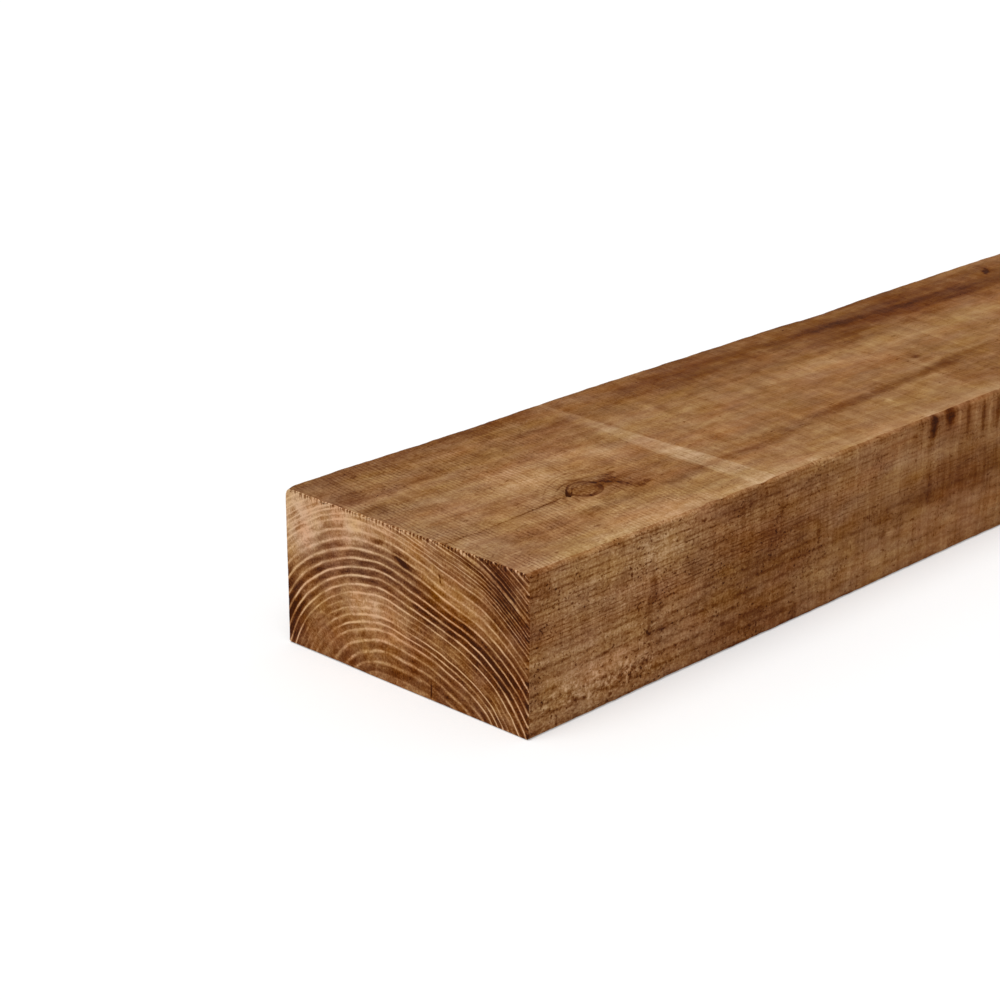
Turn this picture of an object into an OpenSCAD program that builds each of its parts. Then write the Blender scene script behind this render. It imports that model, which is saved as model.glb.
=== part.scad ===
// Sawn softwood railway sleeper: one squared baulk with eased arrises.
// X runs along the grain, Y across the wide faces and Z up from the ground.
// The origin is the middle of the bottom face.

/* [Sleeper] */
// Length along the grain, from one crosscut end to the other
sleeper_length = 2400; // [600:50:3000]
// Width of the top and bottom faces
sleeper_width = 200; // [120:5:300]
// Height from the bottom face to the top face
sleeper_height = 100; // [60:5:180]

/* [Arrises] */
// Radius of the front upper arris, worn the most
front_top_radius = 2.5; // [0.5:0.5:10]
// Radius of the back upper arris
back_top_radius = 2; // [0.5:0.5:10]
// Radius of the two arrises that lie on the ground
bottom_radius = 1.5; // [0.5:0.5:10]

/* [Hidden] */
$fn = 64;

// How far each arris cut runs past the faces that it trims
overcut = 1;
// Across the section, front is -1 and back is 1; up it, bottom is 0 and top is 1
arrises = [
    [-1, 1, front_top_radius],
    [1, 1, back_top_radius],
    [-1, 0, bottom_radius],
    [1, 0, bottom_radius],
];

// What comes off a square corner at the origin to leave a round of radius r
module arris_waste(r) {
    difference() {
        translate([-overcut, -overcut])
            square(r + overcut);
        translate([r, r])
            circle(r);
    }
}

// The sawn section, with its bottom edge centred on the origin
module sawn_section() {
    difference() {
        translate([-sleeper_width / 2, 0])
            square([sleeper_width, sleeper_height]);
        for (arris = arrises)
            translate([arris[0] * sleeper_width / 2, arris[1] * sleeper_height])
                mirror([max(arris[0], 0), 0])
                    mirror([0, arris[1]])
                        arris_waste(arris[2]);
    }
}

// The whole baulk, cut square at both ends
module sleeper() {
    color("#966b42")
        rotate([90, 0, 90])
            linear_extrude(height = sleeper_length, center = true)
                sawn_section();
}

sleeper();
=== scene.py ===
"""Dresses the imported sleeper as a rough-sawn, brown pressure-treated softwood baulk."""

import math
from functools import partial
from typing import NamedTuple

import bpy
import numpy as np
from mathutils import Euler, Matrix, Vector


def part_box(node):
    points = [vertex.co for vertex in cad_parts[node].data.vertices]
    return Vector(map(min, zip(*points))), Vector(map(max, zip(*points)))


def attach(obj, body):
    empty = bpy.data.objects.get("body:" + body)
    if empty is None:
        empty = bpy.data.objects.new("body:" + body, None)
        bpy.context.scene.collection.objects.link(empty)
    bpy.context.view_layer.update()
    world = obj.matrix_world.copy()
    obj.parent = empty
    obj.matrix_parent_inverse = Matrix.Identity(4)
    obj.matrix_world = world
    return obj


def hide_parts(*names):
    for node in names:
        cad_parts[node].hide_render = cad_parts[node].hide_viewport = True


bl_info = {
    "name": "Railway Sleeper",
    "version": (1, 0, 0),
    "blender": (4, 5, 0),
    "location": "3D View > Sidebar > Sleeper",
    "description": "Builds a rough-sawn softwood sleeper and the stage it is shown on",
    "category": "Object",
}

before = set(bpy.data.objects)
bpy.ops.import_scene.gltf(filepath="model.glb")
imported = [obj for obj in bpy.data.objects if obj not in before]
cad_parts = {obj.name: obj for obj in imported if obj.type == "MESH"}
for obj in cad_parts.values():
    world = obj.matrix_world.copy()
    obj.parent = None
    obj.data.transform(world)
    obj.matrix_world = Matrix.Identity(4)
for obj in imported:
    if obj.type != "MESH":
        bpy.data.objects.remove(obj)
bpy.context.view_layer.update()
LOW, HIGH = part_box("sleeper")

# Sizes below are millimetres in the timber's own frame: x from the near end along the grain,
# y from the middle with the front at minus, z up from the bottom face
MM = 0.001
LENGTH, WIDTH, HEIGHT = ((HIGH - LOW) / MM)[:]
FRONT = -WIDTH / 2
BACK = WIDTH / 2
TOP = HEIGHT

# The log: its pith runs below the bottom face and wanders a little along the length
PITH_Y = 22.0
PITH_Z = -23.5
PITH_DRIFT_Y = 0.010
PITH_DRIFT_Z = -0.012

# Growth above the pith: radius of the first clear year, then how many years and how wide each was,
# fast while the tree was young and slower after
FIRST_YEAR = 26.0
GROWTH = ((4, 7.0), (5, 4.4), (4, 5.0), (4, 5.6), (1, 3.1))
# How clearly each year's pale line shows, and how much stain the soft wood before it drank
YEAR_LOOKS = (
    (0.3, 0.4), (0.4, 0.5), (0.55, 0.65), (0.7, 0.6), (0.9, 0.6), (1.0, 0.7), (1.0, 0.7),
    (0.45, 0.3), (0.35, 0.25), (1.0, 0.4), (1.0, 0.8), (1.0, 1.0), (1.0, 1.0), (0.8, 1.0),
    (0.9, 0.9), (0.65, 0.45), (0.7, 0.4), (0.7, 0.4), (0.75, 0.45),
)
YEAR_WIDTHS = [width for count, width in GROWTH for _ in range(count)]
YEARS = [(FIRST_YEAR + sum(YEAR_WIDTHS[:i]), *look) for i, look in enumerate(YEAR_LOOKS)]
OUTER_YEAR = 4.4
NARROW_YEAR = 3.1
# How far along the log a branch starts from where it comes out
BRANCH_LEAN = 75.0

# Branches that come out of a face: x, y, z where each comes out, and its radius
LIVE_KNOTS = (
    (123.4, -29.4, TOP, 10.1),
    (1090, 46, TOP, 10),
    (1480, FRONT, 62, 9),
    (1915, -52, TOP, 11),
)
DEAD_KNOTS = (
    (482.4, -14.6, TOP, 2.2),
    (705, 76.5, TOP, 2),
    (1105, FRONT, 34, 5),
    (1470, BACK, 55, 8),
    (1890, BACK, 38, 4),
    (2230, 12, TOP, 6),
)

# Drying check in the top face, from the near end to the void beside the knot: x and y along it
CHECK_X = (0, 30, 73, 106, 120)
CHECK_Y = (-34.4, -35, -32.7, -30.3, -30)
CHECK_COLUMN = -31.0
# The void: its middle and its half sizes on the two diagonals of the top face
VOID_X = 110.8
VOID_Y = -27.4
VOID_LONG = 6.5
VOID_SHORT = 2.2
VOID_DEPTH = 3.5


class Mark(NamedTuple):
    """A stain, a bruise or painted shade on one face: place, half sizes, turn in degrees, change of tone
    and solid core.
    """

    along: float
    across: float
    reach: float
    breadth: float
    turn: float
    tone: float
    core: float = 0.2


# Top face: along is x and across is y
TOP_MARKS = (
    Mark(14, 63, 28, 20, 0, -0.085),
    Mark(14, 33, 18, 13, 0, -0.06),
    Mark(110, 98, 180, 27, 0, -0.12),
    Mark(76, 68, 86, 26, 0, -0.035),
    Mark(110, 12, 110, 28, 0, 0.035),
    Mark(112, 8, 34, 30, 0, 0.07),
    Mark(166, 16, 28, 20, 0, 0.07),
    Mark(11, -46, 14, 13, 0, 0.035),
    Mark(100, -76, 110, 30, 0, 0.04),
    Mark(120, -88, 76, 28, 0, 0.095),
    Mark(40, -94, 60, 12, 0, 0.06),
    Mark(102, -50, 30, 12, 0, 0.07),
    Mark(118, -30, 44, 13, 0, -0.03),
    Mark(150, -33, 28, 24, 0, -0.08),
    Mark(130, 53, 36, 13, 0, -0.04),
    Mark(15, -93, 28, 13, 0, 0.05),
    Mark(180, 6, 24, 26, 0, 0.05),
    Mark(390, -60, 9, 5, 40, 0.08),
    Mark(265, -94, 12, 5, 12, 0.09),
    Mark(460, 16, 200, 18, 0, 0.04),
    Mark(480, -16, 110, 14, 0, -0.03),
    Mark(490, -56, 70, 30, 0, -0.05),
    Mark(230, -62, 20, 14, 0, 0.045),
    Mark(280, 34, 32, 10, 0, -0.04),
)
# Stain drawn out along the grain, and pale lines that the blade left across it
TOP_STREAKS = (
    Mark(40, 51, 66, 5, 0, -0.07),
    Mark(95, -58, 125, 9, 0, -0.08),
    Mark(225, -57, 80, 8, 2, -0.08),
    Mark(410, -42.5, 190, 9, 3.7, -0.11, 0.2),
    Mark(450, 84, 270, 37, 0, -0.115, 0.45),
    Mark(715, 80, 60, 24, 0, -0.10),
    Mark(550, 89, 80, 10, -1, 0.055),
    Mark(320, 60, 160, 30, 0, -0.05),
    Mark(470, 75, 150, 8, -2.6, -0.10),
    Mark(628, 60, 150, 14, -1, -0.14, 0.3),
    Mark(500, 46, 240, 14, 1, -0.07, 0.4),
    Mark(498, 54, 44, 10, 0, -0.07),
    Mark(545, 59, 20, 6, 0, -0.05),
    Mark(50, -10, 11, 80, 8, 0.03),
    Mark(246, -20, 2.6, 70, 0, 0.025),
    Mark(262, -55, 3.0, 50, 0, 0.04),
    Mark(319, -30, 4.5, 75, 0, 0.03),
)
# Torn grain beside the knots, on the top face
TOP_TEARS = (
    Mark(144, -29, 12, 9, 40, -0.18, 0.2),
    Mark(152, -22, 12, 4, 0, -0.17, 0.2),
    Mark(147, -40, 6, 9, 20, -0.15, 0.1),
    Mark(155, -48, 12, 4.5, 4, -0.22, 0.2),
    Mark(160.5, -16.6, 6, 1.8, 0, -0.20, 0.3),
    Mark(134, 0, 9, 15, 0, -0.05, 0.1),
    Mark(128, -13, 10, 4, -20, -0.10, 0.2),
    Mark(704.7, 76.5, 14, 3.4, 34, -0.30, 0.15),
    Mark(82, -76, 4, 2, 0, -0.12, 0.0),
    Mark(35, -88, 3, 2, 0, -0.16, 0.0),
    Mark(151, 77, 3, 5, 0, -0.13, 0.0),
    Mark(40, 83, 5, 3, 20, -0.12, 0.0),
)
# Painted shade in the checks of the top face and in the void in the knot's bark: dark lines and a
# near-black patch stand in for the shade inside these recesses, which the mesh cuts only shallowly
TOP_CRACK_SHADE = (
    Mark(88, -31.6, 22, 1.1, 4.2, -0.15, 0.3),
    Mark(92, -31.3, 24, 4.0, 4.2, -0.05, 0.1),
    Mark(57, -33.6, 34, 0.9, 3.2, -0.10, 0.4),
    Mark(13, -34.7, 26, 0.8, -1.0, -0.10, 0.4),
    Mark(100, 12.6, 3.5, 0.9, 12, -0.16, 0.2),
    Mark(112.0, -25.4, 5.6, 1.3, 46, -0.42, 0.4),
    Mark(110.2, -28.4, 3.0, 2.1, 46, -0.55, 0.6),
)
# Front face: along is x and across is z
FRONT_STAINS = (
    Mark(2, 66, 16, 22, 0, -0.12),
    Mark(8, 88, 16, 14, 0, -0.10),
    Mark(45, 44, 70, 5, 0, 0.05),
    Mark(55, 84, 66, 10, 0, 0.03),
    Mark(110, 84, 30, 20, 0, 0.08),
    Mark(105, 52, 5, 40, 0, -0.13),
    Mark(58, 28, 66, 14, 0, 0.11),
    Mark(108, 66, 40, 16, 0, 0.07),
    Mark(135, 48, 34, 12, 0, 0.06),
    Mark(195, 55, 80, 75, 0, -0.05),
    Mark(195, 12, 75, 26, 0, -0.06),
    Mark(225, 52, 56, 22, 0, -0.05, 0.4),
    Mark(192, 92, 40, 11, 0, -0.085),
    Mark(385, 97, 50, 7, 0, -0.06),
    Mark(225, 94, 24, 9, 0, -0.05),
    Mark(381, 54, 7, 26, 0, -0.06),
    Mark(48, 16, 44, 7, 11, 0.05),
    Mark(135, 66, 8, 14, 0, 0.05),
    Mark(275, 100, 28, 6, 0, 0.10),
    Mark(132, 100, 28, 6, 0, 0.08),
    Mark(415, 50, 80, 20, 0, -0.07, 0.5),
    Mark(330, 42, 80, 12, 0, -0.03),
    Mark(320, 84, 76, 18, 0, 0.06),
    Mark(290, 16, 100, 16, 0, 0.03),
)
FRONT_TEARS = (
    Mark(112, 48, 5, 5, 0, -0.14, 0.1),
    Mark(162, 73, 22, 2.4, 0, -0.08),
    Mark(383, 94, 6, 12, 0, -0.24, 0.3),
    Mark(401, 95, 7, 10, 0, -0.24, 0.3),
    Mark(380, 84, 5, 16, 0, -0.12, 0.1),
    Mark(412, 92, 3, 14, 0, 0.10, 0.1),
    Mark(422, 90, 3.5, 18, 0, -0.14, 0.1),
    Mark(431, 88, 3, 18, 0, 0.09, 0.1),
    Mark(440, 86, 3.5, 20, 0, -0.15, 0.1),
    Mark(448, 86, 3, 20, 0, 0.10, 0.1),
    Mark(457, 86, 3.5, 20, 0, -0.13, 0.1),
    Mark(362, 91, 4, 4, 0, -0.14, 0.0),
    Mark(331, 31, 6, 4, 0, -0.13, 0.0),
    Mark(341, 31, 7, 5, 0, 0.08, 0.0),
    Mark(263, 52, 3, 3, 0, -0.14, 0.0),
    Mark(150, 91, 3.5, 1.6, 0, -0.24, 0.1),
    Mark(23, 5, 1.2, 6, 0, -0.16, 0.3),
    Mark(69, 6, 3.0, 2.2, 0, -0.26, 0.2),
    Mark(17, 13, 2.4, 2, 0, -0.20, 0.1),
    Mark(40, 12, 8, 1.6, 6, -0.16, 0.1),
    Mark(100, 16, 6, 2.4, 10, -0.16, 0.1),
)
# Where the lower part of the front was torn into pale flecks and dark pits
FRONT_FLECKS = (
    Mark(45, 17, 90, 13, 0, 0.8, 0.4),
    Mark(95, 12, 60, 12, 0, 0.6, 0.2),
)
# Near end: along is y and across is z
END_MARKS = (
    Mark(64, 102, 112, 42, -8, 0.26),
    Mark(46, 90, 24, 5, 4, 0.06),
    Mark(82, 68, 8, 6, 0, -0.08),
    Mark(96, 72, 30, 32, 0, 0.17),
    Mark(74, 68, 24, 15, 20, 0.085),
    Mark(-76, 89, 31, 20, 30, -0.25, 0.1),
    Mark(-92, 66, 32, 15, 50, -0.12, 0.1),
    Mark(-100, 58, 30, 64, 0, -0.09),
    Mark(-46, 67, 54, 10, 25, 0.14, 0.3),
    Mark(-76, 67, 20, 16, 0, -0.12),
    Mark(-50, 95, 12, 6, 15, -0.08),
    Mark(-96, 96, 7, 6, 0, -0.10),
    Mark(-99, 54, 3, 14, 0, 0.07),
    Mark(-13, 92, 28, 11, 0, 0.055),
    Mark(21, 86.5, 9, 3.4, -8, -0.26),
    Mark(0.5, 80, 12.5, 4.5, 30, -0.28),
    Mark(-13, 78, 26, 6, 47, 0.09),
    Mark(-46, 78, 12, 5, 30, 0.05),
    Mark(12, 70, 40, 9, 0, -0.025),
    Mark(26, 48, 46, 14, 0, 0.16),
    Mark(-12, 51, 20, 9, 15, -0.06),
    Mark(19, 35, 46, 14, 0, 0.185),
    Mark(6, 27, 34, 7, 0, 0.06),
    Mark(-13, 43, 18, 6, 18, -0.06),
    Mark(-53, 45, 66, 20, 22, -0.15),
    Mark(95, 22, 22, 36, 0, -0.21),
    Mark(0, 0, 130, 17, 0, -0.10),
    Mark(-40, 20, 50, 22, 0, -0.05),
    Mark(-90, 14, 40, 30, 0, -0.08),
    Mark(-82, 13, 14, 10, 0, -0.05),
    Mark(-76, 30, 28, 14, 40, -0.05),
)
# Where the near end kept its fresh colour, and where it greyed, as a change of saturation
END_FRESHNESS = (
    Mark(44, 70, 66, 26, -6, -0.075, 0.3),
    Mark(92, 84, 30, 28, 0, -0.05),
    Mark(-40, 66, 44, 20, 25, 0.085, 0.2),
    Mark(-13, 88, 18, 14, 0, 0.06),
    Mark(-84, 90, 22, 16, 0, -0.04),
    Mark(20, 26, 100, 26, 0, 0.03),
)
# Painted shade in two checks of the near end: dark lines where shade falls inside cracks that the mesh does
# not cut
END_CRACK_SHADE = (
    Mark(-31, 77.5, 0.9, 4.5, -14, -0.26, 0.4),
    Mark(-23, 6, 0.8, 8.5, 0, -0.24, 0.4),
)

# How deep below its own face a mark goes
MARK_DEPTH = 9.0


class Sawing(NamedTuple):
    """How strongly each pattern shows on a sawn face, as a change of tone."""

    streak: float
    mottle: float
    fibre: float
    fuzz: float
    line: float
    ripple: float
    score: float
    pit: float


WIDE_FACE = Sawing(
    streak=0.034, mottle=0.05, fibre=0.036, fuzz=0.055, line=0.014, ripple=0.075, score=0.03, pit=-0.09)
NARROW_FACE = Sawing(
    streak=0.04, mottle=0.05, fibre=0.07, fuzz=0.085, line=0.11, ripple=0.012, score=0.045, pit=-0.22)

# What the stain leans to on each kind of face: red, plain and gold
END_LEAN = ("#ffebe4", "#fff6f2", "#fff8e6")
WIDE_LEAN = ("#fff4ea", "#fffef6", "#fdffe8")
NARROW_LEAN = ("#ffeee6", "#fff9f6", "#fffae8")

# Stage
CAMERA_PLACE = (-2.146, -0.986, 0.624)
CAMERA_HEADING = math.radians(43.83)
CAMERA_PITCH = math.radians(20.34)
CAMERA_ROLL = math.radians(0.14)
SENSOR_WIDTH = 36
FLOOR_REACH = 30.0
# A hair below the timber, so that the two flat faces never share a plane
FLOOR_LEVEL = -0.3 * MM
FLOOR_GLOW = 0.25
KEY_FROM = (-0.45, -0.10, 0.88)
KEY_SPREAD = math.radians(50)


def linear(hex_colour):
    """Turn an sRGB hex colour into linear red, green, blue and alpha."""
    parts = [int(hex_colour[i:i + 2], 16) / 255 for i in (1, 3, 5)]
    return [p / 12.92 if p <= 0.04045 else ((p + 0.055) / 1.055) ** 2.4 for p in parts] + [1.0]


def add(tree, kind, feeds=(), out=0, stops=(), **settings):
    """Add one node with its settings, feed its sockets by place or name, and return its outputs."""
    made = tree.nodes.new("ShaderNode" + kind)
    for name, value in settings.items():
        setattr(made, name, value)
    for i, (place, colour) in enumerate(stops):
        ramp = made.color_ramp.elements
        stop = ramp[0] if i == 0 else ramp.new(place) if i < len(stops) - 1 else ramp[len(ramp) - 1]
        stop.position = place
        stop.color = colour
    for socket, feed in (feeds.items() if isinstance(feeds, dict) else enumerate(feeds)):
        if isinstance(feed, bpy.types.NodeSocket):
            tree.links.new(feed, made.inputs[socket])
        elif feed is not None:
            made.inputs[socket].default_value = feed
    return [made.outputs[o] for o in out] if isinstance(out, tuple) else made.outputs[out]


class SleeperShape(bpy.types.PropertyGroup):
    """Sizes of the baulk's own surface."""

    front_top_radius: bpy.props.FloatProperty(
        name="Front top arris", description="Radius of the front upper arris",
        default=2.5 * MM, unit="LENGTH", precision=4)
    back_top_radius: bpy.props.FloatProperty(
        name="Back top arris", description="Radius of the back upper arris",
        default=2.0 * MM, unit="LENGTH", precision=4)
    bottom_radius: bpy.props.FloatProperty(
        name="Bottom arrises", description="Radius of the two lower arrises",
        default=1.5 * MM, unit="LENGTH", precision=4)
    end_bevel: bpy.props.FloatProperty(
        name="End bevel", description="How far the crosscut edges are broken",
        default=0.5 * MM, unit="LENGTH", precision=4)
    saw_wander: bpy.props.FloatProperty(
        name="Saw wander", description="How far the faces stray from flat",
        default=0.22 * MM, unit="LENGTH", precision=4)
    washboard: bpy.props.FloatProperty(
        name="Washboard", description="Height of the ripple that the blade left across the faces",
        default=0.12 * MM, unit="LENGTH", precision=4)
    wear: bpy.props.FloatProperty(
        name="Arris wear", description="How deep the long arrises are worn and chipped",
        default=1.0 * MM, unit="LENGTH", precision=4)


class SleeperWood(bpy.types.PropertyGroup):
    """Colours and marks of the timber."""

    pore: bpy.props.FloatVectorProperty(
        name="Pores", description="Voids, bark and the deepest stain", subtype="COLOR",
        default=linear("#3d1b07")[:3])
    early: bpy.props.FloatVectorProperty(
        name="Earlywood", description="Soft wood that drank the most stain", subtype="COLOR",
        default=linear("#5d2f0d")[:3])
    dark: bpy.props.FloatVectorProperty(
        name="Dark streaks", description="Stained streaks along the grain", subtype="COLOR",
        default=linear("#784a23")[:3])
    body: bpy.props.FloatVectorProperty(
        name="Body", description="Most of the sawn faces", subtype="COLOR",
        default=linear("#956941")[:3])
    pale: bpy.props.FloatVectorProperty(
        name="Pale fibre", description="Torn and rubbed fibre", subtype="COLOR",
        default=linear("#b0875c")[:3])
    late: bpy.props.FloatVectorProperty(
        name="Latewood", description="Hard lines that took little stain", subtype="COLOR",
        default=linear("#c6a07a")[:3])
    bare: bpy.props.FloatVectorProperty(
        name="Bare wood", description="Fresh splinters", subtype="COLOR",
        default=linear("#dcb891")[:3])
    saw_pitch: bpy.props.FloatProperty(
        name="Saw mark pitch", description="Distance between bandsaw marks on the faces",
        default=3.1 * MM, unit="LENGTH", precision=4)


class SleeperStage(bpy.types.PropertyGroup):
    """Floor, light and lens."""

    floor: bpy.props.FloatVectorProperty(
        name="Floor", description="Colour of the studio floor", subtype="COLOR",
        default=(0.8, 0.8, 0.8))
    key: bpy.props.FloatProperty(
        name="Key light", description="Strength of the soft light from above", default=1.96)
    fill: bpy.props.FloatProperty(
        name="Fill light", description="Strength of the light from all round", default=0.45)
    lens: bpy.props.FloatProperty(
        name="Lens", description="Focal length of the camera", default=92.2, unit="CAMERA")


def branch_axis(x, y, z):
    """Where a branch starts in the pith, and its direction to where it comes out of the timber."""
    root = Vector((x + BRANCH_LEAN, PITH_Y, PITH_Z))
    return root, (Vector((x, y, z)) - root).normalized()


def branch_wall(tree, point, knots):
    """Distance in millimetres from a point to the nearest branch's wall, negative inside it."""
    nearest = None
    for x, y, z, radius in knots:
        root, axis = branch_axis(x, y, z)
        arm = add(tree, "VectorMath", (point, root), operation="SUBTRACT")
        aside = add(tree, "VectorMath", (arm, axis), operation="CROSS_PRODUCT")
        reach = add(tree, "VectorMath", (aside,), operation="LENGTH", out=1)
        wall = add(tree, "Math", (reach, radius), operation="SUBTRACT")
        nearest = wall if nearest is None else add(tree, "Math", (nearest, wall), operation="MINIMUM")
    return nearest


class Grain:
    """Sockets of one material's tree that describe the timber at the shaded point."""


def grain_field(tree):
    """Lay the log's growth rings and branches through the timber."""
    put = partial(add, tree)
    g = Grain()
    place = put("TexCoord", out="Object")
    g.mm = put("VectorMath", (place, (1 / MM,) * 3, (LENGTH / 2, 0, 0)), operation="MULTIPLY_ADD")
    g.x, g.y, g.z = put("SeparateXYZ", (g.mm,), out=(0, 1, 2))

    # Slow sway of the grain along the log, and a ragged and a fine wobble for the edges of marks
    slow = put("VectorMath", (g.mm, (1 / 300, 1 / 70, 1 / 70)), operation="MULTIPLY")
    sway = put("TexNoise", {"Vector": slow, "Scale": 1, "Detail": 1}, out=1)
    shift = put("VectorMath", (sway, (0, 8, 8), (0, -4, -4)), operation="MULTIPLY_ADD")
    flow = put("VectorMath", (g.mm, shift), operation="ADD")
    ragged = put("TexNoise", {"Vector": g.mm, "Scale": 1 / 24, "Detail": 5, "Roughness": 0.62}, out=1)
    jitter = put("VectorMath", (ragged, (30, 18, 18), (-15, -9, -9)), operation="MULTIPLY_ADD")
    g.ragged = put("VectorMath", (g.mm, jitter), operation="ADD")
    rough = put("TexNoise", {"Vector": g.mm, "Scale": 1 / 5, "Detail": 2}, out=1)
    jitter = put("VectorMath", (rough, (4, 4, 4), (-2, -2, -2)), operation="MULTIPLY_ADD")
    g.loose = put("VectorMath", (g.mm, jitter), operation="ADD")
    jitter = put("VectorMath", (rough, (2, 2, 2), (-1, -1, -1)), operation="MULTIPLY_ADD")
    g.mild = put("VectorMath", (g.mm, jitter), operation="ADD")
    jitter = put("VectorMath", (rough, (0.7, 0.7, 0.7), (-0.35, -0.35, -0.35)), operation="MULTIPLY_ADD")
    g.fine = put("VectorMath", (g.mm, jitter), operation="ADD")

    # A live branch's bark, its wood, which lies off centre in the bark, and its heart
    bark = [(x, y, z, radius + 1.3) for x, y, z, radius in LIVE_KNOTS]
    sound = [(x - 0.9, y + 0.7, z, radius - 1.1) for x, y, z, radius in LIVE_KNOTS]
    heart = [(x + 2.2, y - 0.8, z, radius) for x, y, z, radius in LIVE_KNOTS]
    g.live = branch_wall(tree, g.mild, bark)
    g.core = branch_wall(tree, g.mild, sound)
    g.heart = branch_wall(tree, g.mild, heart)
    g.dead = branch_wall(tree, g.loose, DEAD_KNOTS)
    wall = put("Math", (g.live, g.dead), operation="MINIMUM")
    swirl = put("MapRange", (wall, 26, -6, 0, 9), interpolation_type="SMOOTHERSTEP")

    # Ring radius: round behind the pith, stretched in front of it
    behind = put("VectorMath", (flow, (-PITH_DRIFT_Y, -1, 0)), operation="DOT_PRODUCT", out=1)
    g.du = put("Math", (behind, PITH_Y), operation="ADD")
    up = put("VectorMath", (flow, (-PITH_DRIFT_Z, 0, 1)), operation="DOT_PRODUCT", out=1)
    g.dv = put("Math", (up, -PITH_Z), operation="ADD")
    right = put("Math", (g.du, 0), operation="MAXIMUM")
    left = put("Math", (g.du, 0), operation="MINIMUM")
    near_across = put("Math", (right, 0.6, left), operation="MULTIPLY_ADD")
    pair = put("CombineXYZ", (near_across, g.dv))
    first = put("VectorMath", (pair,), operation="LENGTH", out=1)
    slope = put("Math", (first, 0.75, 60), operation="MULTIPLY_ADD")
    squash = put("Math", (first, slope), operation="DIVIDE")
    g.across = put("Math", (right, squash, left), operation="MULTIPLY_ADD")
    pair = put("CombineXYZ", (g.across, g.dv))
    radius = put("VectorMath", (pair,), operation="LENGTH", out=1)
    dip = put("MapRange", (g.du, 0, 38, 0, 3.2), interpolation_type="SMOOTHSTEP")
    lift = put("MapRange", (g.du, 46, 92, 0, -3.2), interpolation_type="SMOOTHSTEP")
    dent = put("Math", (dip, lift), operation="ADD")
    fore = put("MapRange", (g.du, -14, 52, 0, 1), interpolation_type="SMOOTHSTEP")
    hump = put("MapRange", (radius, 76, 36, 0, -8))
    aft = put("MapRange", (g.du, 8, -34, 0, 1), interpolation_type="SMOOTHSTEP")
    sag = put("MapRange", (radius, 64, 38, 0, 4.6))
    dent = put("Math", (fore, hump, dent), operation="MULTIPLY_ADD")
    dent = put("Math", (aft, sag, dent), operation="MULTIPLY_ADD")
    radius = put("Math", (radius, dent), operation="ADD")
    shiver_at = put("VectorMath", (g.mm, (1 / 60, 1 / 17, 1 / 17)), operation="MULTIPLY")
    shiver = put("TexNoise", {"Vector": shiver_at, "Scale": 1, "Detail": 1})
    radius = put("Math", (shiver, 1.2, radius), operation="MULTIPLY_ADD")
    radius = put("Math", (radius, 0.6), operation="SUBTRACT")
    g.radius = put("Math", (radius, swirl), operation="ADD")

    # Count the years outward, the outermost ones narrower on the front side
    last = YEARS[-1][0]
    share = put("Math", (g.radius, last), operation="DIVIDE")
    grown = [(year[0] / last, [i / len(YEARS)] * 3 + [1]) for i, year in enumerate(YEARS)]
    inner = put("ValToRGB", (share,), stops=grown)
    beyond = put("Math", (g.radius, last), operation="SUBTRACT")
    beyond = put("Math", (beyond, 0), operation="MAXIMUM")
    closeness = put("MapRange", (g.du, 15, 80, 1 / OUTER_YEAR, 1 / NARROW_YEAR),
                    interpolation_type="SMOOTHSTEP")
    outer = put("Math", (beyond, closeness), operation="MULTIPLY")
    season = put("Math", (g.radius, 1 / 7), operation="MULTIPLY")
    season = put("TexNoise", {"W": season, "Scale": 1, "Detail": 1}, noise_dimensions="1D")
    uneven = put("MapRange", (beyond, 0, 10, 0, 2.2))
    outer = put("Math", (season, uneven, outer), operation="MULTIPLY_ADD")
    g.count = put("Math", (inner, len(YEARS), outer), operation="MULTIPLY_ADD")
    g.clear = put("ValToRGB", (share,), stops=[(r / last, [line] * 3 + [1]) for r, line, _ in YEARS])
    g.soak = put("ValToRGB", (share,), stops=[(r / last, [soak] * 3 + [1]) for r, _, soak in YEARS])
    # 0 on a year's pale line, 0.5 half way to the next
    g.phase = put("Math", (g.count, 0.5), operation="PINGPONG")
    return g


def lay_marks(tree, tone, point, face, marks):
    """Add the marks of one face to a tone."""
    for mark in marks:
        turn = math.radians(mark.turn)
        if face == "top":
            at = (mark.along, mark.across, TOP)
            size = (mark.reach, mark.breadth, MARK_DEPTH)
            rotation = (0, 0, turn)
        elif face == "front":
            at = (mark.along, FRONT, mark.across)
            size = (mark.reach, MARK_DEPTH, mark.breadth)
            rotation = (0, turn, 0)
        else:
            at = (0, mark.along, mark.across)
            size = (MARK_DEPTH, mark.reach, mark.breadth)
            rotation = (turn, 0, 0)
        local = add(tree, "Mapping", (point, at, rotation, size), vector_type="TEXTURE")
        away = add(tree, "VectorMath", (local,), operation="LENGTH", out=1)
        change = add(tree, "MapRange", (away, 1, mark.core, 0, mark.tone), interpolation_type="SMOOTHSTEP")
        tone = add(tree, "Math", (tone, change), operation="ADD")
    return tone


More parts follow.
